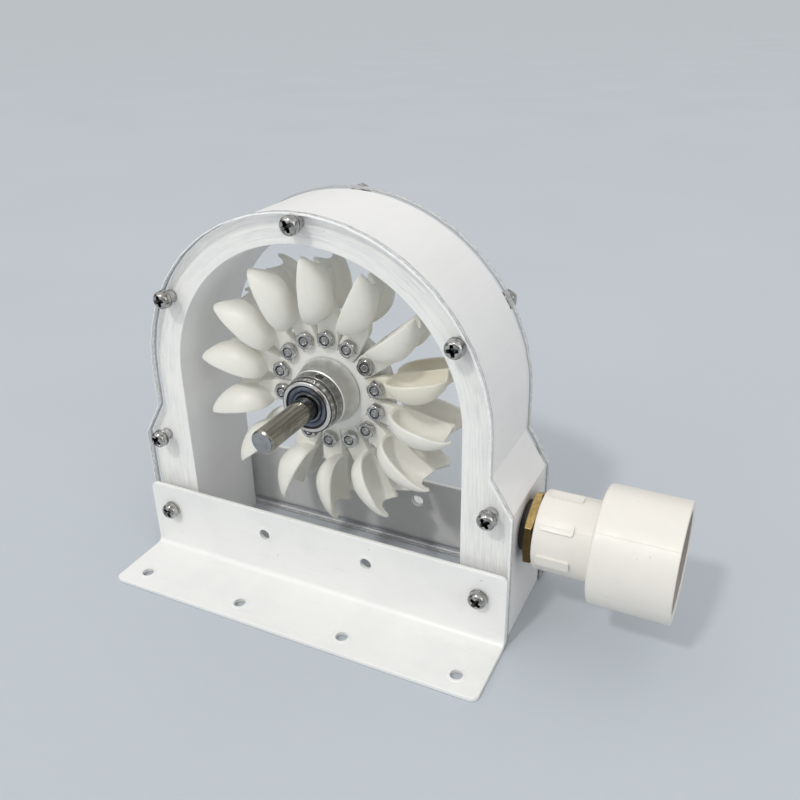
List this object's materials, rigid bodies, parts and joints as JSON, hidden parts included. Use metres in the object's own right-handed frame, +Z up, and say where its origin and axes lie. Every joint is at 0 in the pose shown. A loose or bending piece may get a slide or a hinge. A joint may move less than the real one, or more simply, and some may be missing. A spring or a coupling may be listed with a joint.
{
  "type": "small demonstration pelton wheel turbine",
  "caption": "Arch-shaped housing with clear covers and bent foot brackets, a bolted twin-cup bucket runner on a steel shaft, and a brass nozzle fitting with a pipe adapter.",
  "frame": {"origin": "on the floor, under the middle of the whole part's box", "axes": "+Z up, +X towards the pipe inlet, -Y towards the long end of the shaft"},
  "size_m": [0.1914, 0.0952, 0.1373],
  "materials": {
    "printed_white": "white printed plastic with fine layer lines",
    "clear_acrylic": "clear acrylic sheet with polished edges",
    "white_paint": "satin white paint on bent sheet",
    "stainless": "bright stainless steel",
    "shaft_steel": "ground steel",
    "bearing_steel": "polished bearing steel",
    "hub_aluminium": "satin turned aluminium",
    "bucket_resin": "cream moulded resin",
    "disc_resin": "white plastic",
    "brass": "dull grained brass",
    "white_pipe": "warm white pipe plastic"
  },
  "bodies": {
    "housing": {"housing_ring": "printed_white", "front_cover": "clear_acrylic", "back_cover": "clear_acrylic", "front_bracket": "white_paint", "back_bracket": "white_paint", "screw_top": "stainless", "screw_upper_left": "stainless", "screw_upper_right": "stainless", "screw_lower_left": "stainless", "screw_lower_right": "stainless", "screw_bracket_left": "stainless", "screw_bracket_right": "stainless", "nut_top": "stainless", "nut_upper_left": "stainless", "nut_upper_right": "stainless", "nut_lower_left": "stainless", "nut_lower_right": "stainless", "nut_bracket_left": "stainless", "nut_bracket_right": "stainless", "front_bearing": "bearing_steel", "back_bearing": "bearing_steel", "nozzle_fitting": "brass", "pipe_adapter": "white_pipe"},
    "runner": {"shaft": "shaft_steel", "hub": "hub_aluminium", "runner_disc": "disc_resin", "bucket_01": "bucket_resin", "bucket_02": "bucket_resin", "bucket_03": "bucket_resin", "bucket_04": "bucket_resin", "bucket_05": "bucket_resin", "bucket_06": "bucket_resin", "bucket_07": "bucket_resin", "bucket_08": "bucket_resin", "bucket_09": "bucket_resin", "bucket_10": "bucket_resin", "bucket_11": "bucket_resin", "bucket_12": "bucket_resin", "bucket_13": "bucket_resin", "bucket_14": "bucket_resin"}
  },
  "joints": [
    {"name": "runner_spin", "type": "hinge", "parent": "housing", "child": "runner", "pos_m": [-0.0245, 0, 0.0737], "axis": [0, 1, 0], "continuous": true}
  ]
}
